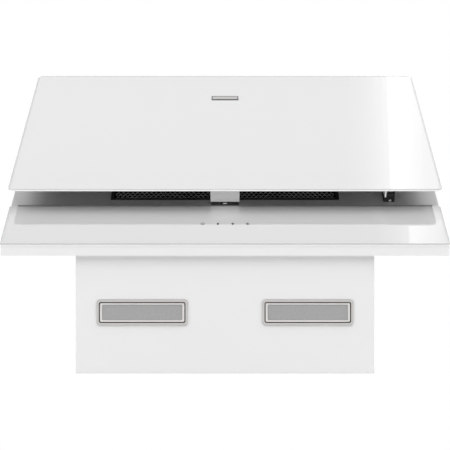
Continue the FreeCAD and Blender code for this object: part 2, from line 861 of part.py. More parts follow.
def filter_mesh(side):
    return on_slope(filter_box(side, filter_frame_border, filter_bottom + mesh_lift, filter_top - mesh_drop))


def handle_centre(side):
    return side * (filter_side_gap + filter_opening_half - filter_side_gap) / 2


handle_axis_run = filter_opening_start + handle_rise
handle_axis_height = filter_top - mesh_drop + handle_plate_thick + seat_gap + handle_wire


def handle_plate(side):
    x = handle_centre(side)
    low = filter_top - mesh_drop
    top = low + handle_plate_thick
    half_run = handle_plate_run / 2
    half = handle_plate_half
    pieces = [block(x - half, x + half, handle_axis_run - half_run, handle_axis_run + half_run, low, top)]
    for x0, x1 in ((x - half, x - half + handle_ear_thick), (x + half - handle_ear_thick, x + half)):
        pieces.append(block(x0, x1, handle_axis_run - handle_ear_radius, handle_axis_run + handle_ear_radius,
                            low, handle_axis_height))
        pieces.append(pin_x(handle_ear_radius, x0, x1, handle_axis_run, handle_axis_height))
    hole = pin_x(handle_wire + running_gap, x - half - overrun, x + half + overrun,
                 handle_axis_run, handle_axis_height)
    return on_slope(joined(pieces).cut(hole))


def filter_handle(side):
    x = handle_centre(side)
    tip = handle_axis_run + handle_arm
    stub = handle_plate_half - handle_ear_thick / 3
    z = handle_axis_height
    places = [(-stub, handle_axis_run), (-handle_half, handle_axis_run), (-handle_half, tip),
              (handle_half, tip), (handle_half, handle_axis_run), (stub, handle_axis_run)]
    return on_slope(bent_wire([Vector(x + dx, s, z) for dx, s in places], handle_bend / 2, handle_wire))


# Blower

tongue_angle = math.asin(tongue_rise / scroll_start_radius)
top_angle = -3 * math.pi / 2


def fan_point(radius, angle, x):
    return Vector(x, fan_y + radius * math.cos(angle), fan_z + radius * math.sin(angle))


def scroll_outline(offset, x):
    """The scroll's outline in the plane at x: a spiral that grows round the fan, then a straight outlet."""
    start_radius = scroll_start_radius + offset
    low = tongue_rise - offset
    start = math.asin(low / start_radius)
    points = []
    for index in range(spiral_points):
        share = index / (spiral_points - 1)
        angle = start + (top_angle - start) * share
        points.append(fan_point(start_radius + scroll_growth * share, angle, x))
    spiral = Part.BSplineCurve()
    spiral.interpolate(points)
    outlet_y = spigot_mouth - spigot_wall
    corner_top = Vector(x, outlet_y, points[-1].z)
    corner_low = Vector(x, outlet_y, points[0].z)
    edges = [spiral.toShape(), Part.LineSegment(points[-1], corner_top).toShape(),
             Part.LineSegment(corner_top, corner_low).toShape(), Part.LineSegment(corner_low, points[0]).toShape()]
    return Part.Face(Part.Wire(edges))


def scroll(side):
    """One half of the scroll, from the middle plane out to its inlet side."""
    outer_x = scroll_half + scroll_sheet
    shell = scroll_outline(scroll_sheet, 0).extrude(Vector(side * outer_x, 0, 0))
    hollow = scroll_outline(0, 0).extrude(Vector(side * scroll_half, 0, 0))
    mouth_y = spigot_mouth - spigot_wall
    x0, x1 = sorted((0, side * scroll_half))
    mouth = block(x0, x1, mouth_y - overrun, mouth_y + overrun, fan_z + tongue_rise,
                  fan_z + scroll_start_radius + scroll_growth)
    inlet = pin_x(inlet_radius, side * (scroll_half - overrun), side * (outer_x + overrun), fan_y, fan_z)
    return shell.cut(hollow).cut(mouth).cut(inlet)


def inlet_ring(side):
    """A bell mouth: a flange on the scroll's side and a curved throat that narrows towards the impeller."""
    face = scroll_half + scroll_sheet
    tip = impeller_half + bell_tip_gap
    lip = face + bell_lip_out
    wall = bell_wall

    def at(x, radius):
        return Vector(side * x, fan_y, fan_z + radius)

    middle_x = (tip + lip) / 2 - bell_lip_out / 4
    middle_r = bell_throat_radius + (bell_lip_radius - bell_throat_radius) / 4
    inner = Part.Arc(at(tip, bell_throat_radius), at(middle_x + wall, middle_r - wall),
                     at(lip, bell_lip_radius - wall)).toShape()
    end_out = Part.LineSegment(at(lip, bell_lip_radius - wall), at(lip, bell_lip_radius)).toShape()
    outer = Part.Arc(at(lip, bell_lip_radius), at(middle_x, middle_r + wall / 2),
                     at(tip, bell_throat_radius + wall)).toShape()
    end_in = Part.LineSegment(at(tip, bell_throat_radius + wall), at(tip, bell_throat_radius)).toShape()
    throat = Part.Face(Part.Wire([inner, end_out, outer, end_in]))
    throat = throat.revolve(Vector(0, fan_y, fan_z), Vector(1, 0, 0), 360)
    flange = pin_x(bell_flange_radius, side * face, side * (face + bell_flange_thick), fan_y, fan_z)
    bore = pin_x(middle_r + wall, side * (face - overrun), side * (lip + overrun), fan_y, fan_z)
    return joined([flange.cut(bore), throat])


def blade(index, side):
    """A thin forward-curved blade from the hub disc out to one end ring, bowed to one side."""
    angle = 2 * math.pi * index / blade_count
    sweep = math.radians(blade_sweep)
    x = side * hub_disc_half
    bow = (impeller_radius - impeller_inner) * blade_bow_share

    def arc(shift):
        inner = fan_point(impeller_inner, angle + shift / impeller_inner, x)
        outer = fan_point(impeller_radius - blade_thick, angle - sweep + shift / impeller_radius, x)
        across = (outer - inner).cross(Vector(1, 0, 0)).normalize()
        return inner, (inner + outer) / 2 + across * bow, outer

    a0, a1, a2 = arc(0)
    b0, b1, b2 = arc(blade_thick)
    wire = Part.Wire([Part.Arc(a0, a1, a2).toShape(), Part.LineSegment(a2, b2).toShape(),
                      Part.Arc(b2, b1, b0).toShape(), Part.LineSegment(b0, a0).toShape()])
    return Part.Face(wire).extrude(Vector(side * (impeller_half - end_ring_thick - hub_disc_half), 0, 0))


def impeller():
    """The wheel's hub, the disc between both rows of blades, and a flat ring that ties each row at its inlet."""
    disc = pin_x(impeller_radius, -hub_disc_half, hub_disc_half, fan_y, fan_z)
    hub = pin_x(hub_radius, -hub_half, hub_half, fan_y, fan_z)
    bore = pin_x(shaft_radius, -hub_half - overrun, hub_half + overrun, fan_y, fan_z)
    pieces = [joined([disc, hub]).cut(bore)]
    ring_inner = impeller_radius - end_ring_width
    for x0 in (-impeller_half, impeller_half - end_ring_thick):
        ring = pin_x(impeller_radius, x0, x0 + end_ring_thick, fan_y, fan_z)
        pieces.append(ring.cut(pin_x(ring_inner, x0 - overrun, x0 + end_ring_thick + overrun, fan_y, fan_z)))
    return Part.makeCompound(pieces)


def impeller_blades():
    return Part.makeCompound([blade(index, side) for side in (-1, 1) for index in range(blade_count)])


def impeller_shaft():
    return pin_x(shaft_radius, -motor_half_gap - shaft_inside, hub_half + sheet, fan_y, fan_z)


def motor_body():
    end = -motor_half_gap
    start = end - motor_length
    body = pin_x(motor_radius, start, end, fan_y, fan_z)
    body = body.makeFillet(motor_round, [e for e in body.Edges if e.BoundBox.XLength < motor_round])
    bore = pin_x(shaft_radius + running_gap, end - shaft_inside - overrun, end + overrun, fan_y, fan_z)
    return body.cut(bore)


def motor_mount():
    """A spider with arms from a ring round the motor to feet on the scroll's side."""
    face = -scroll_half - scroll_sheet
    outer_x = face - spider_out
    inner_x = outer_x - spider_thick
    ring = pin_x(motor_radius + spider_ring, inner_x, outer_x, fan_y, fan_z)
    pieces = [ring]
    half = spider_arm / 2
    for index in range(spider_arms):
        angle = 360.0 * index / spider_arms + 90
        arm = block(inner_x, outer_x, motor_radius, spider_foot_outer, -half, half)
        foot = block(inner_x, face, spider_foot_inner, spider_foot_outer, -half, half)
        turned = joined([arm, foot])
        turned.rotate(Vector(0, 0, 0), Vector(1, 0, 0), angle)
        turned.translate(Vector(0, fan_y, fan_z))
        pieces.append(turned)
    hole = pin_x(motor_radius, inner_x - overrun, outer_x + overrun, fan_y, fan_z)
    return joined(pieces).cut(hole)


def blower_foot(side):
    """An angle from the housing's floor to the scroll's side, under the inlet."""
    face = scroll_half + scroll_sheet
    share_at_bottom = (tongue_angle + math.pi / 2) / (tongue_angle - top_angle)
    bottom = fan_z - scroll_start_radius - scroll_growth * share_at_bottom
    web = block(face, face + foot_thick, fan_y - foot_half, fan_y + foot_half, sheet, bottom + foot_overlap)
    flange = block(face, face + foot_flange, fan_y - foot_half, fan_y + foot_half, sheet, sheet + foot_thick)
    foot = joined([web, flange])
    return foot if side > 0 else mirrored(foot)


# Duct spigot and its two non-return flaps

def outlet_spigot():
    def ring(radius, y0, y1):
        return cylinder(radius, Vector(0, y0, spigot_z), Vector(0, y1, spigot_z))

    end = wall_y + spigot_reach
    inside_radius = spigot_radius + spigot_step
    taper = Part.makeCone(inside_radius, spigot_radius, spigot_taper, Vector(0, back_rear, spigot_z),
                          Vector(0, 1, 0))
    mouth = spigot_mouth - spigot_wall
    half = spigot_flange_half
    plate = rounded_block(-half, half, mouth, spigot_mouth, spigot_z - half, spigot_z + half,
                          overrun, Vector(0, 1, 0))
    collar = ring(spigot_radius + spigot_ring, back_front - spigot_wall, back_front)
    bore_radius = spigot_radius - spigot_wall
    tube = [ring(inside_radius, mouth, back_rear), taper, ring(spigot_radius, back_rear, end)]
    spigot = joined([plate, collar] + tube)
    spigot = spigot.cut(ring(bore_radius, mouth - overrun, end + overrun))
    for side in (-1, 1):
        x = side * flap_pin_spread
        tall = math.sqrt(spigot_radius ** 2 - flap_pin_spread ** 2)
        spigot = spigot.cut(cylinder(flap_pin_radius, Vector(x, flap_axis_y(), spigot_z - tall),
                                     Vector(x, flap_axis_y(), spigot_z + tall)))
    return spigot


def flap_axis_y():
    return spigot_mouth + flap_pin_from_mouth


def flap_pins():
    pins = []
    for side in (-1, 1):
        x = side * flap_pin_spread
        tall = math.sqrt((spigot_radius - spigot_wall / 3) ** 2 - flap_pin_spread ** 2)
        pins.append(cylinder(flap_pin_radius - press_gap, Vector(x, flap_axis_y(), spigot_z - tall),
                             Vector(x, flap_axis_y(), spigot_z + tall)))
    return Part.makeCompound(pins)


def damper_flap(side):
    """Half a disc with a knuckle along its straight edge."""
    y = flap_axis_y()
    radius = spigot_radius - spigot_wall - flap_edge_gap
    x_pin = side * flap_pin_spread
    disc = cylinder(radius, Vector(0, y - flap_thick / 2, spigot_z), Vector(0, y + flap_thick / 2, spigot_z))
    x0, x1 = sorted((x_pin, side * (radius + overrun)))
    reach_z = radius + overrun
    half = disc.common(block(x0, x1, y - overrun, y + overrun, spigot_z - reach_z, spigot_z + reach_z))
    tall = radius - flap_knuckle_radius
    knuckle = cylinder(flap_knuckle_radius, Vector(x_pin, y, spigot_z - tall), Vector(x_pin, y, spigot_z + tall))
    bore = cylinder(flap_pin_radius + running_gap, Vector(x_pin, y, spigot_z - radius - overrun),
                    Vector(x_pin, y, spigot_z + radius + overrun))
    return joined([half, knuckle]).cut(bore)


# Writes one file per sub-part

def both_sides(name, build):
    return {name + "_left": build(-1), name + "_right": build(1)}


sub_parts = {
    "canopy_pan": canopy_pan(),
    "control_glass": control_glass(),
    "control_board": control_board(),
    "control_cover": control_cover(),
    "lower_housing": lower_housing(),
    "back_panel": back_panel(),
    "wall_bracket": wall_bracket(),
    "bracket_screws": bracket_screws(),
    "cable_grommet": cable_grommet(),
    "terminal_box": terminal_box(),
    "lid_glass": lid_glass(),
    "lid_frame": lid_frame(),
    "badge_plate": badge_plate(),
    "catch_housing": catch_housing(),
    "catch_magnet": catch_magnet(),
    "keeper_post": keeper_post(),
    "lid_buffers": lid_buffers(),
    "strut_bracket": strut_bracket(),
    "strut_pin": strut_pin(),
    "strut_tube": strut_tube(),
    "strut_rod": strut_rod(),
    "strut_rail": strut_rail(),
    "strut_stud": strut_stud(),
    "impeller": impeller(),
    "impeller_blades": impeller_blades(),
    "impeller_shaft": impeller_shaft(),
    "motor_body": motor_body(),
    "motor_mount": motor_mount(),
    "outlet_spigot": outlet_spigot(),
    "flap_pins": flap_pins(),
}
paired = {"lamp_rim": lamp_rim, "lamp_frame": lamp_frame, "lamp_lens": lamp_lens, "lamp_body": lamp_body,
          "hinge_base": hinge_base, "hinge_pin": hinge_pin, "hinge_leaf": hinge_leaf,
          "filter_frame": filter_frame, "filter_mesh": filter_mesh, "handle_plate": handle_plate,
          "filter_handle": filter_handle, "scroll": scroll, "inlet_ring": inlet_ring,
          "blower_foot": blower_foot, "damper_flap": damper_flap}
for name, build in paired.items():
    sub_parts.update(both_sides(name, build))

for node, shape in sub_parts.items():
    shape.exportStep("parts/" + node + ".step")
    print(node, "solids", len(shape.Solids), "valid", shape.isValid(), "volume", round(shape.Volume))
print("sub-parts", len(sub_parts))
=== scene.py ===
import bpy
import bmesh
import json
import math
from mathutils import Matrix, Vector


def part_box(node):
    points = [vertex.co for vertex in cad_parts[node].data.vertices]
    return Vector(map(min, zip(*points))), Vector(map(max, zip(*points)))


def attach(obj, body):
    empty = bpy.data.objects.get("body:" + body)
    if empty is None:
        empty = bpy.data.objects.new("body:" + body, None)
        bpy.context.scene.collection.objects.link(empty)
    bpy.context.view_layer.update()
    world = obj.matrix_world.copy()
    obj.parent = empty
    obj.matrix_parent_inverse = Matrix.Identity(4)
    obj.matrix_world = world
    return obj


# The range hood's looks: finishes of the modelled parts, fine pieces laid on them, light, floor and camera.
# Lengths are in metres. X runs along the width, -Y is the front, +Z is up.

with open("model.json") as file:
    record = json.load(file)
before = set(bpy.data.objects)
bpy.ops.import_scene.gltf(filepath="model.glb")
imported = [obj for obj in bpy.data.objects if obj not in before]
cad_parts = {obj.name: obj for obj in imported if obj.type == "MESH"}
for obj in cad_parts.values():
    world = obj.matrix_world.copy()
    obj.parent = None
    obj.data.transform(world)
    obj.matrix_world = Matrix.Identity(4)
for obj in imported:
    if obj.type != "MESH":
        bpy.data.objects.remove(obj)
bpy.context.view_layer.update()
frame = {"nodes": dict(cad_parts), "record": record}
nodes = frame["nodes"]

# Sizes that follow the modelled part. A run is measured up the slope from the control glass's lower edge, and a top
# or a height is measured off the control glass's face.
MM = 0.001
LEAN = math.radians(39.0)
RISE = math.sin(LEAN)
REACH = math.cos(LEAN)
SLOPE_OUT = (0.0, -RISE, REACH)
SLOPE_DOWN = (0.0, -REACH, -RISE)
GLASS_THICK = 4.5 * MM
GLASS_BEVEL = 1.5 * MM
glass_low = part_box("control_glass")[0]
FRONT_Y = glass_low.y - GLASS_BEVEL * RISE
FRONT_HEIGHT = glass_low.z + GLASS_THICK * REACH
BACK_FACE_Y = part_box("back_panel")[1].y
CONTROL_END = 124.0 * MM
LID_TOP = 48.5 * MM
LID_START = 116.5 * MM
LID_END = 569.0 * MM
PAN_TOP = -4.5 * MM
MESH_TOP = -6.5 * MM
ICON_RUN = 64.2 * MM
ICON_PLACES = (-45.6 * MM, -14.6 * MM, 15.8 * MM, 46.2 * MM)
BADGE_RUN = 467.5 * MM
BADGE_TOP = LID_TOP + 1.2 * MM
KEEPER_TOP = PAN_TOP + 1.5 * MM
RIVET_RUN = 136.3 * MM
STRUT_NOSE_RUN = 143.0 * MM


def on_slope(x, run, height):
    """A place on the leaning panels: across, up the slope, and off it."""
    return Vector((x, FRONT_Y + run * REACH - height * RISE, FRONT_HEIGHT + run * RISE + height * REACH))


# Camera: level, in front of the control glass, at the photograph's distance and lens

CAMERA_BACK = 2.041
CAMERA_RISE = 0.038
FOCAL_PIXELS = 1023.0
IMAGE_PIXELS = 450.0
SENSOR = 36.0

camera_data = bpy.data.cameras.new("camera")
camera_data.sensor_width = SENSOR
camera_data.lens = SENSOR * FOCAL_PIXELS / IMAGE_PIXELS
camera = bpy.data.objects.new("camera", camera_data)
camera.location = (0.0, FRONT_Y - CAMERA_BACK, FRONT_HEIGHT + CAMERA_RISE)
camera.rotation_euler = (math.pi / 2, 0.0, 0.0)
bpy.context.scene.collection.objects.link(camera)
bpy.context.scene.camera = camera


# Materials: shared steps

def start_material(name, colour, roughness, metallic=0.0):
    """A material with a Principled shader; returns its tree and shader for the details."""
    material = bpy.data.materials.new(name)
    material.use_nodes = True
    tree = material.node_tree
    shader = tree.nodes["Principled BSDF"]
    shader.inputs["Base Color"].default_value = (*colour, 1.0)
    shader.inputs["Roughness"].default_value = roughness
    shader.inputs["Metallic"].default_value = metallic
    return material, tree, shader


def node(tree, kind, **values):
    """A node with its settings."""
    made = tree.nodes.new(kind)
    for key, value in values.items():
        setattr(made, key, value)
    return made


def maths(tree, operation, *sources, **values):
    """The outcome of a sum on one or two sockets."""
    made = node(tree, "ShaderNodeMath", operation=operation, **values)
    for index, source in enumerate(sources):
        tree.links.new(source, made.inputs[index])
    return made.outputs["Value"]


def axis_of(tree, source, axis):
    """One axis of a vector."""
    parts = node(tree, "ShaderNodeSeparateXYZ")
    tree.links.new(source, parts.inputs[0])
    return parts.outputs[axis]


def object_place(tree, stretch=(1.0, 1.0, 1.0)):
    """The place on the object, stretched along each axis."""
    place = node(tree, "ShaderNodeTexCoord")
    mapping = node(tree, "ShaderNodeMapping")
    mapping.inputs["Scale"].default_value = stretch
    tree.links.new(place.outputs["Object"], mapping.inputs["Vector"])
    return mapping.outputs["Vector"]


def noise(tree, scale, detail=3.0, stretch=(1.0, 1.0, 1.0)):
    """Soft clouds, from 0 to 1."""
    made = node(tree, "ShaderNodeTexNoise")
    made.inputs["Scale"].default_value = scale
    made.inputs["Detail"].default_value = detail
    tree.links.new(object_place(tree, stretch), made.inputs["Vector"])
    return made.outputs["Fac"]


def cells(tree, scale):
    """Irregular cells: the distance from each cell's middle."""
    made = node(tree, "ShaderNodeTexVoronoi")
    made.inputs["Scale"].default_value = scale
    tree.links.new(object_place(tree), made.inputs["Vector"])
    return made.outputs["Distance"]


def between(tree, factor, low, high, from_low=0.3, from_high=0.7):
    """Maps a factor to a range of numbers."""
    made = node(tree, "ShaderNodeMapRange")
    made.inputs["From Min"].default_value = from_low
    made.inputs["From Max"].default_value = from_high
    made.inputs["To Min"].default_value = low
    made.inputs["To Max"].default_value = high
    tree.links.new(factor, made.inputs["Value"])
    return made.outputs["Result"]


def shade(colour, share):
    """A colour made darker or lighter by a share."""
    return tuple(min(1.0, c * share) for c in colour)


def blend_colours(tree, factor, first, second):
    """From the first colour to the second; each is a plain colour or a socket."""
    made = node(tree, "ShaderNodeMix", data_type="RGBA")
    tree.links.new(factor, made.inputs["Factor"])
    for socket, colour in zip((made.inputs[6], made.inputs[7]), (first, second)):
        if isinstance(colour, tuple):
            socket.default_value = (*colour, 1.0)
        else:
            tree.links.new(colour, socket)
    return made.outputs[2]


def add_bump(tree, shader, height, strength, distance):
    """Fine relief from a height."""
    bump = node(tree, "ShaderNodeBump")
    bump.inputs["Strength"].default_value = strength
    bump.inputs["Distance"].default_value = distance
    tree.links.new(height, bump.inputs["Height"])
    tree.links.new(bump.outputs["Normal"], shader.inputs["Normal"])


def vary_colour(tree, shader, colour, spread, factor):
    """Lets the base colour drift a little either way."""
    drift = blend_colours(tree, factor, shade(colour, 1.0 - spread), shade(colour, 1.0 + spread))
    tree.links.new(drift, shader.inputs["Base Color"])


def vary_roughness(tree, shader, roughness, least, most, factor):
    """Lets the roughness drift between two shares of itself."""
    tree.links.new(between(tree, factor, roughness * least, roughness * most), shader.inputs["Roughness"])


# Materials: the finishes

ALONG_X = (0.02, 1.0, 1.0)
PAINTED_EDGE_GLOW = 0.30  # painted highlight: emission makes the glass's cut edge shine as if letting out gathered light
# Painted light: a block is lightest at its foot and darkest from this share of its height up
PAINTED_LIGHT_SHARE = 0.6  # of a block's height, from its foot

# Ranges over which one kind of glass surface gives way to another: how far it faces off the slope, and along the width
FACE_TURN = (0.75, 0.95)
EDGE_TURN = (0.2, 0.45)
BACK_TURN = (-0.95, -0.75)
SIDE_TURN = (0.68, 0.8)

# Heights over which the control glass's painted shade grows darker upwards, and over which its colours give way to the
# lid's
PAINTED_SHADE_LEVELS = (0.32, 0.337)
LID_LEVELS = (0.34, 0.37)


def painted(name, colour, roughness, coat=0.0, grain=900.0, spread=0.01):
    """Powder coat or enamel with a fine orange peel."""
    material, tree, shader = start_material(name, colour, roughness)
    shader.inputs["Coat Weight"].default_value = coat
    shader.inputs["Coat Roughness"].default_value = 0.08
    vary_colour(tree, shader, colour, spread, noise(tree, 9.0))
    vary_roughness(tree, shader, roughness, 0.85, 1.15, noise(tree, 40.0))
    add_bump(tree, shader, noise(tree, grain, 2.0), 0.06, 0.0002)
    return material


def panel_glass(name, colour, bevel_colour, edge_colour, side_colour, back_colour):
    """White glass, coloured from behind: mirror-smooth face, darker bevel, pale edge made to shine with painted
    emission, dark back.
    """
    material, tree, shader = start_material(name, colour, 0.02)
    shader.inputs["IOR"].default_value = 1.52
    shader.inputs["Coat Weight"].default_value = 1.0
    shader.inputs["Coat IOR"].default_value = 2.2
    shader.inputs["Coat Roughness"].default_value = 0.01
    shader.inputs["Emission Color"].default_value = (1.0, 1.0, 1.0, 1.0)
    place = node(tree, "ShaderNodeTexCoord")
    facing = node(tree, "ShaderNodeVectorMath", operation="DOT_PRODUCT")
    facing.inputs[1].default_value = SLOPE_OUT
    tree.links.new(place.outputs["Normal"], facing.inputs[0])
    turn = maths(tree, "ABSOLUTE", facing.outputs["Value"])
    side_turn = maths(tree, "ABSOLUTE", axis_of(tree, place.outputs["Normal"], "X"))
    on_face = between(tree, turn, 0.0, 1.0, *FACE_TURN)
    on_edge = between(tree, turn, 1.0, 0.0, *EDGE_TURN)
    on_back = between(tree, facing.outputs["Value"], 1.0, 0.0, *BACK_TURN)
    on_side = between(tree, side_turn, 0.0, 1.0, *SIDE_TURN)
    level = axis_of(tree, place.outputs["Object"], "Z")
    on_lid = between(tree, level, 0.0, 1.0, *LID_LEVELS)

    # Painted shade: the control glass's face and bevel are darker than the lid's, its face more so towards the lid
    darker = between(tree, level, 0.0, 1.0, *PAINTED_SHADE_LEVELS)
    shaded_face = blend_colours(tree, darker, shade(colour, 0.93), shade(colour, 0.85))
    drift = blend_colours(tree, noise(tree, 5.0), shade(colour, 0.992), colour)
    face = blend_colours(tree, on_lid, shaded_face, drift)
    bevel = blend_colours(tree, on_lid, shade(bevel_colour, 0.75), bevel_colour)
    bevel = blend_colours(tree, on_side, bevel, side_colour)
    edge = blend_colours(tree, on_side, edge_colour, side_colour)
    ground = blend_colours(tree, on_face, bevel, face)
    ground = blend_colours(tree, on_edge, ground, edge)
    ground = blend_colours(tree, on_back, ground, back_colour)
    tree.links.new(ground, shader.inputs["Base Color"])
    tree.links.new(between(tree, on_face, 0.12, 0.02, 0.0, 1.0), shader.inputs["Roughness"])
    # Painted highlight: emission makes the cut edge shine, but not the sides
    painted_glow = maths(tree, "SUBTRACT", on_edge, on_side, use_clamp=True)
    tree.links.new(between(tree, painted_glow, 0.0, PAINTED_EDGE_GLOW, 0.0, 1.0), shader.inputs["Emission Strength"])
    return material


def brushed(name, colour, roughness, strength=0.08, scale=900.0):
    """Metal with fine brush lines along the width."""
    material, tree, shader = start_material(name, colour, roughness, 1.0)
    lines = noise(tree, scale, 4.0, ALONG_X)
    vary_colour(tree, shader, colour, 0.07, lines)
    vary_roughness(tree, shader, roughness, 0.75, 1.3, lines)
    add_bump(tree, shader, lines, strength, 0.0001)
    return material


def zinc_sheet(name, colour, roughness):
    """Zinc-plated steel with its faint crystals."""
    material, tree, shader = start_material(name, colour, roughness, 1.0)
    vary_colour(tree, shader, colour, 0.09, cells(tree, 70.0))
    vary_roughness(tree, shader, roughness, 0.8, 1.25, noise(tree, 60.0))
    add_bump(tree, shader, noise(tree, 500.0), 0.05, 0.0001)
    return material


def moulded_grain(tree, shader, roughness, grain=1400.0, strength=0.15):
    """The fine spark-eroded grain of moulded plastic."""
    vary_roughness(tree, shader, roughness, 0.88, 1.12, noise(tree, 120.0))
    add_bump(tree, shader, noise(tree, grain, 2.0), strength, 0.0002)


def moulded(name, colour, roughness, *grain):
    """Moulded plastic or rubber; grain is its scale and its strength."""
    material, tree, shader = start_material(name, colour, roughness)
    vary_colour(tree, shader, colour, 0.06, noise(tree, 30.0))
    moulded_grain(tree, shader, roughness, *grain)
    return material


def painted_light_plastic(name, colour, roughness, node_name, drift):
    """Moulded plastic with painted light and shade: lighter towards the foot of the block that the lid shades from
    above.
    """
    material, tree, shader = start_material(name, colour, roughness)
    low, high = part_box(node_name)
    level = axis_of(tree, node(tree, "ShaderNodeTexCoord").outputs["Object"], "Z")
    painted_light_fade = between(tree, level, 0.0, 1.0, low.z, low.z + PAINTED_LIGHT_SHARE * (high.z - low.z))
    ground = blend_colours(tree, painted_light_fade, shade(colour, 1.0 + drift), shade(colour, 1.0 - drift))
    tree.links.new(ground, shader.inputs["Base Color"])
    moulded_grain(tree, shader, roughness)
    return material


def rubbery(name, colour):
    """Matt rubber with a coarser grain."""
    return moulded(name, colour, 0.75, 500.0, 0.2)


def diffuser(name, colour):
    """The lamp's lens: a field of fine prisms."""
    material, tree, shader = start_material(name, colour, 0.35)
    shader.inputs["Coat Weight"].default_value = 0.4
    grains = cells(tree, 620.0)
    vary_colour(tree, shader, colour, 0.16, grains)
    add_bump(tree, shader, grains, 0.5, 0.0004)
    return material


def circuit_board(name, colour):
    """Green lacquer over copper tracks."""
    material, tree, shader = start_material(name, colour, 0.3)
    tracks = node(tree, "ShaderNodeTexBrick")
    tracks.inputs["Scale"].default_value = 160.0
    tracks.inputs["Color1"].default_value = (*colour, 1.0)
    tracks.inputs["Color2"].default_value = (*shade(colour, 0.8), 1.0)
    tracks.inputs["Mortar"].default_value = (colour[0] * 2.0, colour[1] * 1.7, colour[2] * 1.5, 1.0)
    tree.links.new(object_place(tree), tracks.inputs["Vector"])
    tree.links.new(tracks.outputs["Color"], shader.inputs["Base Color"])
    add_bump(tree, shader, tracks.outputs["Fac"], 0.2, 0.0001)
    return material


WHITE_PAINT = (0.90, 0.90, 0.90)
WHITE_GLASS = (0.69, 0.69, 0.69)
GLASS_BEVEL_GREY = (0.54, 0.54, 0.54)
GLASS_EDGE = (0.80, 0.81, 0.81)
GLASS_SIDE = (0.32, 0.32, 0.32)
GLASS_BACK = (0.06, 0.06, 0.062)

# Each look has its colour first, then its roughness and the strength of its details
materials = {
    "white_glass": panel_glass("white_glass_look", WHITE_GLASS, GLASS_BEVEL_GREY, GLASS_EDGE, GLASS_SIDE, GLASS_BACK),
    "white_paint": painted("white_paint_look", WHITE_PAINT, 0.34, 0.25),
    "zinc_steel": zinc_sheet("zinc_look", (0.38, 0.38, 0.38), 0.42),
    "steel": brushed("steel_look", (0.62, 0.62, 0.63), 0.28),
    "chrome_rod": brushed("chrome_look", (0.78, 0.78, 0.80), 0.08, 0.02, 1500.0),
    "filter_mesh": zinc_sheet("mesh_pad_look", (0.014, 0.014, 0.014), 0.6),
    "filter_frame": brushed("filter_frame_look", (0.08, 0.08, 0.082), 0.5),
    "lamp_rim": brushed("lamp_rim_look", (0.60, 0.585, 0.57), 0.42, 0.05),
    "lamp_frame": moulded("lamp_frame_look", (0.92, 0.89, 0.87), 0.4, 1600.0, 0.05),
    "lamp_lens": diffuser("lamp_lens_look", (0.385, 0.385, 0.385)),
    # The catch housing's grey is painted lighter at its foot and darker at its top, as painted light and shade
    "grey_plastic": painted_light_plastic("grey_plastic_painted_light_look", (0.71, 0.71, 0.71), 0.42, "catch_housing", 0.25),
    "dark_plastic": moulded("dark_plastic_look", (0.016, 0.016, 0.017), 0.5),
    # Black paint; on the keeper plate under the catch its darkness also stands in for the shade beneath the catch
    "black_paint": painted("black_paint_and_shade_look", (0.19, 0.19, 0.19), 0.22, 0.4, 700.0, 0.1),
    # Rubber; in the lamp grooves it also stands in for the shade there
    "rubber": rubbery("rubber_and_groove_shade_look", (0.022, 0.022, 0.022)),
    "magnet": moulded("magnet_look", (0.05, 0.05, 0.055), 0.6, 300.0, 0.3),
    "board": circuit_board("board_look", (0.02, 0.14, 0.05)),
    "motor": painted("motor_look", (0.16, 0.17, 0.18), 0.4, 0.1, 500.0, 0.05),
    "impeller": moulded("impeller_look", (0.05, 0.05, 0.055), 0.5, 700.0, 0.1),
    "badge": brushed("badge_look", (0.16, 0.16, 0.17), 0.4),
    "strand": brushed("strand_look", (0.33, 0.33, 0.33), 0.35),
    "frosting": painted("frosting_look", (0.58, 0.58, 0.58), 0.12, 1.0),
    # A grey ring that paints the shade where each lamp lens meets its frame
    "lens_shade": rubbery("lens_edge_shade_look", (0.42, 0.42, 0.41)),
    # A grey rubber seal whose colour also paints the shade along the control glass's upper edge
    "seal": rubbery("seal_shade_look", (0.26, 0.26, 0.26)),
}

slot_of_node = {row["node"]: row["material_slot"] for row in frame["record"]["subparts"]}
for name, cad in nodes.items():
    look = materials[slot_of_node[name]]
    if not cad.material_slots:
        cad.data.materials.append(look)
    for place in cad.material_slots:
        place.material = look


# Building fine pieces

CORNER_STEPS = 4


def mesh_piece(name, vertices, faces, body, slot, smooth=False):
    """A piece from its points and faces, riding on a body."""
    data = bpy.data.meshes.new(name)
    data.from_pydata([tuple(v) for v in vertices], [], faces)
    tidy = bmesh.new()
    tidy.from_mesh(data)
    bmesh.ops.recalc_face_normals(tidy, faces=tidy.faces)
    tidy.to_mesh(data)
    tidy.free()
    for face in data.polygons:
        face.use_smooth = smooth
    piece = bpy.data.objects.new(name, data)
    bpy.context.scene.collection.objects.link(piece)
    data.materials.append(materials[slot])
    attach(piece, body)


def extruded(outlines, low, high, place):
    """Points and faces of flat outlines given thickness; place turns (u, v, height) into a point."""
    vertices, faces = [], []
    for outline in outlines:
        first = len(vertices)
        count = len(outline)
        vertices += [place(u, v, low) for u, v in outline]
        vertices += [place(u, v, high) for u, v in outline]
        faces.append(tuple(range(first + count - 1, first - 1, -1)))
        faces.append(tuple(range(first + count, first + 2 * count)))
        for i in range(count):
            j = (i + 1) % count
            faces.append((first + i, first + j, first + count + j, first + count + i))
    return vertices, faces


def stacked(rings):
    """Points and faces of a solid that runs through rings of equal count, closed at both ends."""
    count = len(rings[0])
    vertices = [point for ring in rings for point in ring]
    last = len(vertices) - count
    faces = [tuple(range(count - 1, -1, -1)), tuple(range(last, last + count))]
    for first in range(0, last, count):
        for i in range(count):
            j = (i + 1) % count
            faces.append((first + i, first + j, first + count + j, first + count + i))
    return vertices, faces


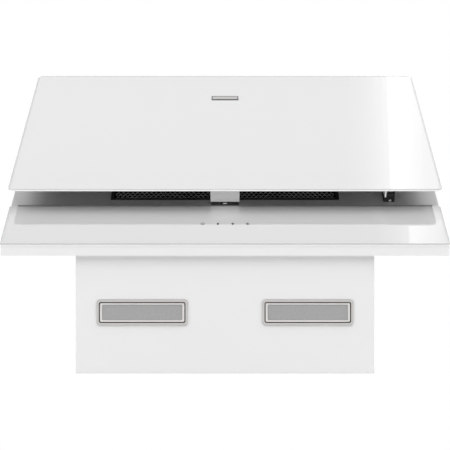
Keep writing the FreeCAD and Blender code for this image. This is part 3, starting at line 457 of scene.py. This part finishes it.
def ring_strips(outer, inner):
    """The ring between two outlines of equal count as separate quads."""
    count = len(outer)
    return [[outer[i], outer[(i + 1) % count], inner[(i + 1) % count], inner[i]] for i in range(count)]


def rectangle(left, low, right, high):
    """The four corners of a flat outline."""
    return [(left, low), (right, low), (right, high), (left, high)]


def arc_points(radius, start, end, count):
    """Points along an arc, both ends included; start and end are in degrees."""
    return [(radius * math.cos(math.radians(start + (end - start) * i / count)),
             radius * math.sin(math.radians(start + (end - start) * i / count))) for i in range(count + 1)]


def rounded_outline(half_u, half_v, corner):
    """A rectangle with rounded corners."""
    points = []
    for su, sv, start in ((1, 1, 0), (-1, 1, 90), (-1, -1, 180), (1, -1, 270)):
        for du, dv in arc_points(corner, start, start + 90, CORNER_STEPS):
            points.append((su * (half_u - corner) + du, sv * (half_v - corner) + dv))
    return points


# Touch marks on the control glass: generic signs for power, less, more and light

MARK_FOOT = 0.02 * MM
MARK_TOP = 0.08 * MM


def power_sign():
    """A ring, open at the top, with a stem in its gap."""
    stroke = 1.3 * MM
    radius = 4.1 * MM
    gap_end, gap_start = 120, 420
    steps = 20
    stem_low, stem_high = 0.8 * MM, 4.2 * MM
    outer = arc_points(radius, gap_end, gap_start, steps)
    inner = arc_points(radius - stroke, gap_end, gap_start, steps)
    ring = [[outer[i], outer[i + 1], inner[i + 1], inner[i]] for i in range(steps)]
    return ring + [rectangle(-stroke / 2, stem_low, stroke / 2, stem_high)]


def less_sign():
    """One upright bar."""
    across, along = 1.8 * MM, 3.2 * MM
    return [rectangle(-across, -along, across, along)]


def more_sign():
    """A cross."""
    reach, thick = 3.6 * MM, 1.2 * MM
    return [rectangle(-reach, -thick, reach, thick), rectangle(-thick, thick, thick, reach),
            rectangle(-thick, -reach, thick, -thick)]


def light_sign():
    """A disc with rays."""
    disc, disc_steps = 2.0 * MM, 16
    ray_start, ray_end, ray_half = 2.6 * MM, 4.2 * MM, 0.6 * MM
    ray_count = 8
    shapes = [arc_points(disc, 0, 360, disc_steps)[:-1]]
    for i in range(ray_count):
        angle = 2 * math.pi * i / ray_count
        outward = Vector((math.cos(angle), math.sin(angle)))
        breadth = Vector((-outward.y, outward.x)) * ray_half
        start, end = outward * ray_start, outward * ray_end
        shapes.append([tuple(start - breadth), tuple(end - breadth), tuple(end + breadth), tuple(start + breadth)])
    return shapes


def touch_mark(number, x, outlines):
    """A sign printed on the glass."""
    vertices, faces = extruded(outlines, MARK_FOOT, MARK_TOP, lambda u, v, h: on_slope(x + u, ICON_RUN + v, h))
    mesh_piece("touch_mark_%d" % number, vertices, faces, "hood", "dark_plastic")


for number, (x, outlines) in enumerate(zip(ICON_PLACES, (power_sign(), less_sign(), more_sign(), light_sign())), 1):
    touch_mark(number, x, outlines)


# Badge: a bare brushed field inside the plate's dark border

BADGE_HALF_X = 28.8 * MM
BADGE_HALF_RUN = 5.2 * MM
BADGE_CORNER = 1.0 * MM
BADGE_FIELD = 0.25 * MM

badge_outline = rounded_outline(BADGE_HALF_X, BADGE_HALF_RUN, BADGE_CORNER)
mesh_piece("badge_field", *extruded([badge_outline], BADGE_TOP, BADGE_TOP + BADGE_FIELD,
                                    lambda u, v, h: on_slope(u, BADGE_RUN + v, h)), "lid", "lamp_rim")


# Expanded mesh over each filter pad: rows of strands that touch at their bends

FILTER_START = 156.5 * MM
FILTER_END = 413.5 * MM
FILTER_NEAR = 6.5 * MM
FILTER_FAR = 235.5 * MM
MESH_PITCH_X = 10.0 * MM
MESH_PITCH_RUN = 7.0 * MM
STRAND = 0.9 * MM
STRAND_DEEP = 0.8 * STRAND
STRAND_LIFT = 0.35 * MM
STRAND_WAVE = 0.15 * MM
SWING_SHARE = 0.36  # of the pitch between rows, as the next one
STRAY_SHARE = 0.06
STRAY_ROW = 12.9
STRAY_STEP = 78.2


def filter_strands(side, name):
    """Three-sided strands that swing up and down the slope, each bend a little astray."""
    vertices, faces = [], []
    rows = int((FILTER_END - FILTER_START) / MESH_PITCH_RUN)
    steps = int((FILTER_FAR - FILTER_NEAR) / (MESH_PITCH_X / 2))
    for row in range(rows):
        middle = FILTER_START + MESH_PITCH_RUN * (row + 0.5)
        flip = 1 if row % 2 else -1
        first = len(vertices)
        for step in range(steps + 1):
            x = side * (FILTER_NEAR + MESH_PITCH_X / 2 * step)
            swing = flip * (1 if step % 2 else -1)
            stray = math.sin(STRAY_ROW * row + STRAY_STEP * step)
            run = middle + swing * MESH_PITCH_RUN * (SWING_SHARE + STRAY_SHARE * stray)
            lift = MESH_TOP + STRAND_LIFT + (swing + stray) * STRAND_WAVE
            vertices += [on_slope(x, run - STRAND / 2, lift), on_slope(x, run, lift + STRAND_DEEP),
                         on_slope(x, run + STRAND / 2, lift)]
        for step in range(steps):
            a = first + 3 * step
            faces += [(a, a + 3, a + 4, a + 1), (a + 1, a + 4, a + 5, a + 2), (a + 2, a + 5, a + 3, a)]
    mesh_piece("filter_strands_" + name, vertices, faces, "filter_" + name, "strand")


filter_strands(-1, "left")
filter_strands(1, "right")


# Glass borders: a fine frosted line along the sides of both panels and the lid's upper edge

BORDER = 3.2 * MM
BORDER_CORNER = 7.0 * MM
BORDER_FOOT = 0.02 * MM
BORDER_TOP = 0.06 * MM
LID_BORDER_INSET = 0.3 * MM


def glass_borders(node_name, body, top, start, end, across):
    """Lines along a panel's two sides, and across its upper end where across is true."""
    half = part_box(node_name)[1].x - GLASS_BEVEL
    low, high = start + BORDER_CORNER, end - BORDER_CORNER
    lines = []
    for side in (-1, 1):
        outside, inside = side * half, side * (half - BORDER)
        lines.append([(outside, low), (outside, high), (inside, high), (inside, low)])
    if across:
        lines.append(rectangle(BORDER_CORNER - half, end - BORDER, half - BORDER_CORNER, end))
    vertices, faces = extruded(lines, top + BORDER_FOOT, top + BORDER_TOP, on_slope)
    mesh_piece(node_name + "_border", vertices, faces, body, "frosting")


glass_borders("control_glass", "hood", 0.0, 0.0, CONTROL_END, False)
glass_borders("lid_glass", "lid", LID_TOP, LID_START + GLASS_BEVEL, LID_END - GLASS_BEVEL - LID_BORDER_INSET, True)


# Seal: a thin grey rubber ridge along the control glass's upper edge that also paints the shade along that edge

SEAL_INSET = 15.0 * MM
SEAL_START = 124.1 * MM
SEAL_FOOT = 2.2 * MM
SEAL_CROWN = 2.0 * MM
SEAL_NEAR_TOP = 0.3 * MM
SEAL_FAR_TOP = 0.2 * MM


def glass_seal_shade():
    """One seal across the pan, its grey also painting the shade there."""
    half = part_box("canopy_pan")[1].x - SEAL_INSET
    profile = [(SEAL_START, PAN_TOP), (SEAL_START + SEAL_FOOT, PAN_TOP),
               (SEAL_START + SEAL_CROWN, SEAL_FAR_TOP), (SEAL_START, SEAL_NEAR_TOP)]
    rings = [[on_slope(x, run, height) for run, height in profile] for x in (-half, half)]
    mesh_piece("glass_seal_shade", *stacked(rings), "hood", "seal")


glass_seal_shade()


# Keeper: a bright domed rivet at the foot of its post

RIVET_HALF_X = 4.9 * MM
RIVET_HALF_RUN = 2.4 * MM
RIVET_COUNT = 28
RIVET_DOME = ((1.0, 0.0), (1.0, 0.3), (0.92, 1.0), (0.76, 1.6), (0.5, 2.05), (0.2, 2.2))  # share of its size, mm up


def keeper_rivet():
    """An oval dome of rings."""
    rings = []
    for size, lift in RIVET_DOME:
        oval = [(RIVET_HALF_X * size * math.cos(2 * math.pi * i / RIVET_COUNT),
                 RIVET_HALF_RUN * size * math.sin(2 * math.pi * i / RIVET_COUNT)) for i in range(RIVET_COUNT)]
        rings.append([on_slope(x, RIVET_RUN + run, KEEPER_TOP + lift * MM) for x, run in oval])
    mesh_piece("keeper_rivet", *stacked(rings), "hood", "chrome_rod", smooth=True)


keeper_rivet()


# Lamp trims as painted shade: dark rubber in the groove between each rim and its frame, and a thin grey ring at the
# lens

GROOVE_SHADE_REACH = 2.0 * MM
GROOVE_SHADE_CORNERS = (4.0 * MM, 2.5 * MM)
GROOVE_SHADE_PROUD = 0.1 * MM
LENS_SHADE_OUTSIDE = (1.0 * MM, 0.5 * MM, 2.4 * MM)
LENS_SHADE_INSIDE = (-0.7 * MM, -0.4 * MM, 1.6 * MM)
LENS_SHADE_PROUD = 0.05 * MM


def upright_ring(name, node_name, outside, inside, front, depth, slot):
    """A ring about a node's box; outside and inside say how far past the box in x and z, and the corner."""
    low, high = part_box(node_name)
    middle_x, middle_z = (low.x + high.x) / 2, (low.z + high.z) / 2
    half_u, half_v = (high.x - low.x) / 2, (high.z - low.z) / 2
    outer, inner = [rounded_outline(half_u + u, half_v + v, corner) for u, v, corner in (outside, inside)]
    vertices, faces = extruded(ring_strips(outer, inner), 0.0, depth,
                               lambda u, v, h: Vector((middle_x + u, front + h, middle_z + v)))
    mesh_piece(name, vertices, faces, "hood", slot)


def lamp_shade_trims(name):
    """The painted shade of one lamp: dark rubber in its groove and a grey ring where its lens meets the frame."""
    rim_low, rim_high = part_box("lamp_rim_" + name)
    upright_ring("lamp_groove_shade_" + name, "lamp_frame_" + name, (GROOVE_SHADE_REACH, GROOVE_SHADE_REACH, GROOVE_SHADE_CORNERS[0]),
                 (0.0, 0.0, GROOVE_SHADE_CORNERS[1]), rim_low.y - GROOVE_SHADE_PROUD, rim_high.y - rim_low.y, "rubber")
    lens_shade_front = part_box("lamp_frame_" + name)[0].y - LENS_SHADE_PROUD
    upright_ring("lens_edge_shade_" + name, "lamp_lens_" + name, LENS_SHADE_OUTSIDE, LENS_SHADE_INSIDE,
                 lens_shade_front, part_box("lamp_lens_" + name)[0].y - lens_shade_front, "lens_shade")


lamp_shade_trims("left")
lamp_shade_trims("right")


# Screws: a domed head with a hexagonal socket

SCREW_COUNT = 24
HEAD_HEIGHT = 0.55  # this and the next are shares of the head's radius
SOCKET_SIZE = 0.42


def screw_ring(centre, out, size, lift, hexagonal):
    """A round or hexagonal ring about an axis."""
    side = out.orthogonal().normalized()
    other = out.cross(side)
    points = []
    for i in range(SCREW_COUNT):
        angle = 2 * math.pi * i / SCREW_COUNT
        reach = size
        if hexagonal:
            reach = size * math.cos(math.pi / 6) / math.cos(angle % (math.pi / 3) - math.pi / 6)
        points.append(centre + side * reach * math.cos(angle) + other * reach * math.sin(angle) + out * lift)
    return points


def screw(name, centre, axis, radius, slot="steel"):
    """A small domed screw head seated on a face; axis points out of the face."""
    out = Vector(axis).normalized()
    height = radius * HEAD_HEIGHT
    socket = radius * SOCKET_SIZE
    profile = ((radius, 0.0, False), (radius, height * 0.45, False), (radius * 0.86, height * 0.85, False),
               (radius * 0.62, height, False), (socket, height * 0.96, True), (socket * 0.96, height * 0.3, True))
    rings = [screw_ring(Vector(centre), out, size, lift, hexagonal) for size, lift, hexagonal in profile]
    mesh_piece(name, *stacked(rings), "hood", slot)


HINGE_SCREW = 2.6 * MM  # these four are radii of heads
KEEPER_SCREW = 2.2 * MM
STRUT_SCREW = 3.0 * MM
BACK_SCREW = 3.0 * MM
HINGE_SCREW_X = (("in", 379.0 * MM), ("out", 401.0 * MM))
HINGE_SCREW_RUN = 535.5 * MM
HINGE_TOP = PAN_TOP + 2.5 * MM
KEEPER_SCREW_X = 12.0 * MM
STRUT_SCREW_X = 347.0 * MM
STRUT_SCREW_HEIGHT = -0.3 * MM
BACK_SCREW_X = (-270.0 * MM, -135.0 * MM, 0.0, 135.0 * MM, 270.0 * MM)
BACK_SCREW_Z = (("low", 14.0 * MM), ("high", 590.0 * MM))

for side, word in ((-1, "left"), (1, "right")):
    for place, x in HINGE_SCREW_X:
        hinge_place = on_slope(side * x, HINGE_SCREW_RUN, HINGE_TOP)
        screw("hinge_screw_%s_%s" % (word, place), hinge_place, SLOPE_OUT, HINGE_SCREW)
    keeper_place = on_slope(side * KEEPER_SCREW_X, RIVET_RUN, KEEPER_TOP)
    screw("keeper_screw_" + word, keeper_place, SLOPE_OUT, KEEPER_SCREW, "black_paint")
strut_place = on_slope(STRUT_SCREW_X, STRUT_NOSE_RUN, STRUT_SCREW_HEIGHT)
screw("strut_screw", strut_place, SLOPE_DOWN, STRUT_SCREW, "chrome_rod")
for index, x in enumerate(BACK_SCREW_X):
    for place, z in BACK_SCREW_Z:
        screw("back_screw_%s_%d" % (place, index + 1), (x, BACK_FACE_Y, z), (0.0, 1.0, 0.0), BACK_SCREW)


# Studio: floor, world and lamps

FLOOR_RADIUS = 1.6
FLOOR_COUNT = 96
FLOOR_Z = -0.65
FLOOR_GREY = (0.90, 0.90, 0.90)
FLOOR_FADE = (1.0, 1.7)  # distances from the middle between which the floor goes clear
WORLD_FILL = 0.0


def light_floor():
    """A pale round floor that fades into the white background."""
    vertices = [(0.0, 0.0, FLOOR_Z)]
    for x, y in arc_points(FLOOR_RADIUS, 0, 360, FLOOR_COUNT)[:-1]:
        vertices.append((x, y, FLOOR_Z))
    faces = [(0, i + 1, (i + 1) % FLOOR_COUNT + 1) for i in range(FLOOR_COUNT)]
    data = bpy.data.meshes.new("floor")
    data.from_pydata(vertices, [], faces)
    floor = bpy.data.objects.new("floor", data)
    bpy.context.scene.collection.objects.link(floor)
    material, tree, shader = start_material("floor_look", FLOOR_GREY, 0.9)
    vary_colour(tree, shader, FLOOR_GREY, 0.01, noise(tree, 6.0))
    place = node(tree, "ShaderNodeTexCoord")
    length = node(tree, "ShaderNodeVectorMath", operation="LENGTH")
    tree.links.new(place.outputs["Object"], length.inputs[0])
    clear = node(tree, "ShaderNodeBsdfTransparent")
    mix = node(tree, "ShaderNodeMixShader")
    tree.links.new(between(tree, length.outputs["Value"], 0.0, 1.0, *FLOOR_FADE), mix.inputs["Fac"])
    tree.links.new(shader.outputs["BSDF"], mix.inputs[1])
    tree.links.new(clear.outputs["BSDF"], mix.inputs[2])
    tree.links.new(mix.outputs["Shader"], tree.nodes["Material Output"].inputs["Surface"])
    data.materials.append(material)


light_floor()


def white_world(fill):
    """White where the camera, a mirror or glass looks past the hood, and a softer fill for the light itself."""
    world = bpy.data.worlds.new("studio")
    bpy.context.scene.world = world
    world.use_nodes = True
    tree = world.node_tree
    tree.nodes.clear()
    path = node(tree, "ShaderNodeLightPath")
    shown = maths(tree, "MAXIMUM", path.outputs["Is Camera Ray"], path.outputs["Is Glossy Ray"])
    shown = maths(tree, "MAXIMUM", shown, path.outputs["Is Transmission Ray"])
    mix = node(tree, "ShaderNodeMixShader")
    tree.links.new(shown, mix.inputs["Fac"])
    for index, strength in ((1, fill), (2, 1.0)):
        white = node(tree, "ShaderNodeBackground")
        white.inputs["Color"].default_value = (1.0, 1.0, 1.0, 1.0)
        white.inputs["Strength"].default_value = strength
        tree.links.new(white.outputs["Background"], mix.inputs[index])
    output = node(tree, "ShaderNodeOutputWorld")
    tree.links.new(mix.outputs["Shader"], output.inputs["Surface"])


white_world(WORLD_FILL)


def soft_box(name, centre, target, width, height, power, mirrored):
    """A rectangular lamp: a mirrored one shows in glass and metal alone, any other lights the surfaces alone."""
    lamp = bpy.data.lights.new(name, "AREA")
    lamp.shape = "RECTANGLE"
    lamp.size = width
    lamp.size_y = height
    lamp.energy = power
    holder = bpy.data.objects.new(name, lamp)
    holder.location = centre
    holder.rotation_euler = (Vector(target) - Vector(centre)).to_track_quat("-Z", "Y").to_euler()
    holder.visible_glossy = mirrored
    holder.visible_diffuse = not mirrored
    holder.visible_camera = False
    bpy.context.scene.collection.objects.link(holder)


STUDIO_MIDDLE = Vector((0.0, 0.0, 0.33))
BOX_DISTANCE = 2.6
BOXES = (("side_left", -72.0, 37.0, 1.4, 22.5), ("side_right", 72.0, 37.0, 1.4, 22.5),
         ("face_left", -45.0, 19.0, 1.2, 5.0), ("face_right", 45.0, 19.0, 1.2, 5.0),
         ("front", 0.0, 45.0, 1.4, 26.2), ("top", 0.0, 72.0, 1.4, 14.1),
         ("low_left", -49.0, -23.0, 1.2, 20.8), ("low_right", 49.0, -23.0, 1.2, 20.8))


def soft_box_round(name, azimuth, elevation, size, power):
    """A square box at the studio's distance; azimuth 0 is the front, 90 the right."""
    turn, up = math.radians(azimuth), math.radians(elevation)
    away = Vector((math.sin(turn) * math.cos(up), -math.cos(turn) * math.cos(up), math.sin(up)))
    soft_box(name, STUDIO_MIDDLE + away * BOX_DISTANCE, STUDIO_MIDDLE, size, size, power, False)


for name, azimuth, elevation, size, power in BOXES:
    soft_box_round(name, azimuth, elevation, size, power)


WINDOW_HEIGHT = 1.8
LID_WINDOW_Y = (0.15, 0.80)
LID_WINDOW_EDGES = (0.425, 0.452, 0.479, 0.505, 0.532, 0.559, 0.579, 0.626, 0.646, 0.667, 0.693, 0.740, 1.200)
LID_WINDOW_RADIANCES = (0.03, 0.07, 0.13, 0.22, 0.34, 0.50, 1.10, 0.85, 0.74, 0.64, 0.50, 0.40)
PANEL_WINDOW_Y = (-0.12, 0.145)
PANEL_WINDOW_EDGES = (0.540, 0.566, 0.595, 0.625, 0.651, 0.684, 0.714, 0.744, 0.766, 0.788, 1.200)
PANEL_WINDOW_RADIANCES = (0.06, 0.14, 0.25, 0.38, 0.98, 0.85, 0.72, 0.58, 0.42, 0.25)


def window_box(name, y_range, edges, radiances):
    """Strips overhead that the leaning glass mirrors towards the front as a bright band with a soft side."""
    depth = y_range[1] - y_range[0]
    for index, radiance in enumerate(radiances):
        width = edges[index + 1] - edges[index]
        centre = Vector(((edges[index] + edges[index + 1]) / 2, (y_range[0] + y_range[1]) / 2, WINDOW_HEIGHT))
        soft_box("%s_%d" % (name, index + 1), centre, centre - Vector((0.0, 0.0, 1.0)), width, depth,
                 radiance * math.pi * width * depth, True)


window_box("lid_window", LID_WINDOW_Y, LID_WINDOW_EDGES, LID_WINDOW_RADIANCES)
window_box("panel_window", PANEL_WINDOW_Y, PANEL_WINDOW_EDGES, PANEL_WINDOW_RADIANCES)

bpy.context.scene.view_settings.view_transform = "Standard"
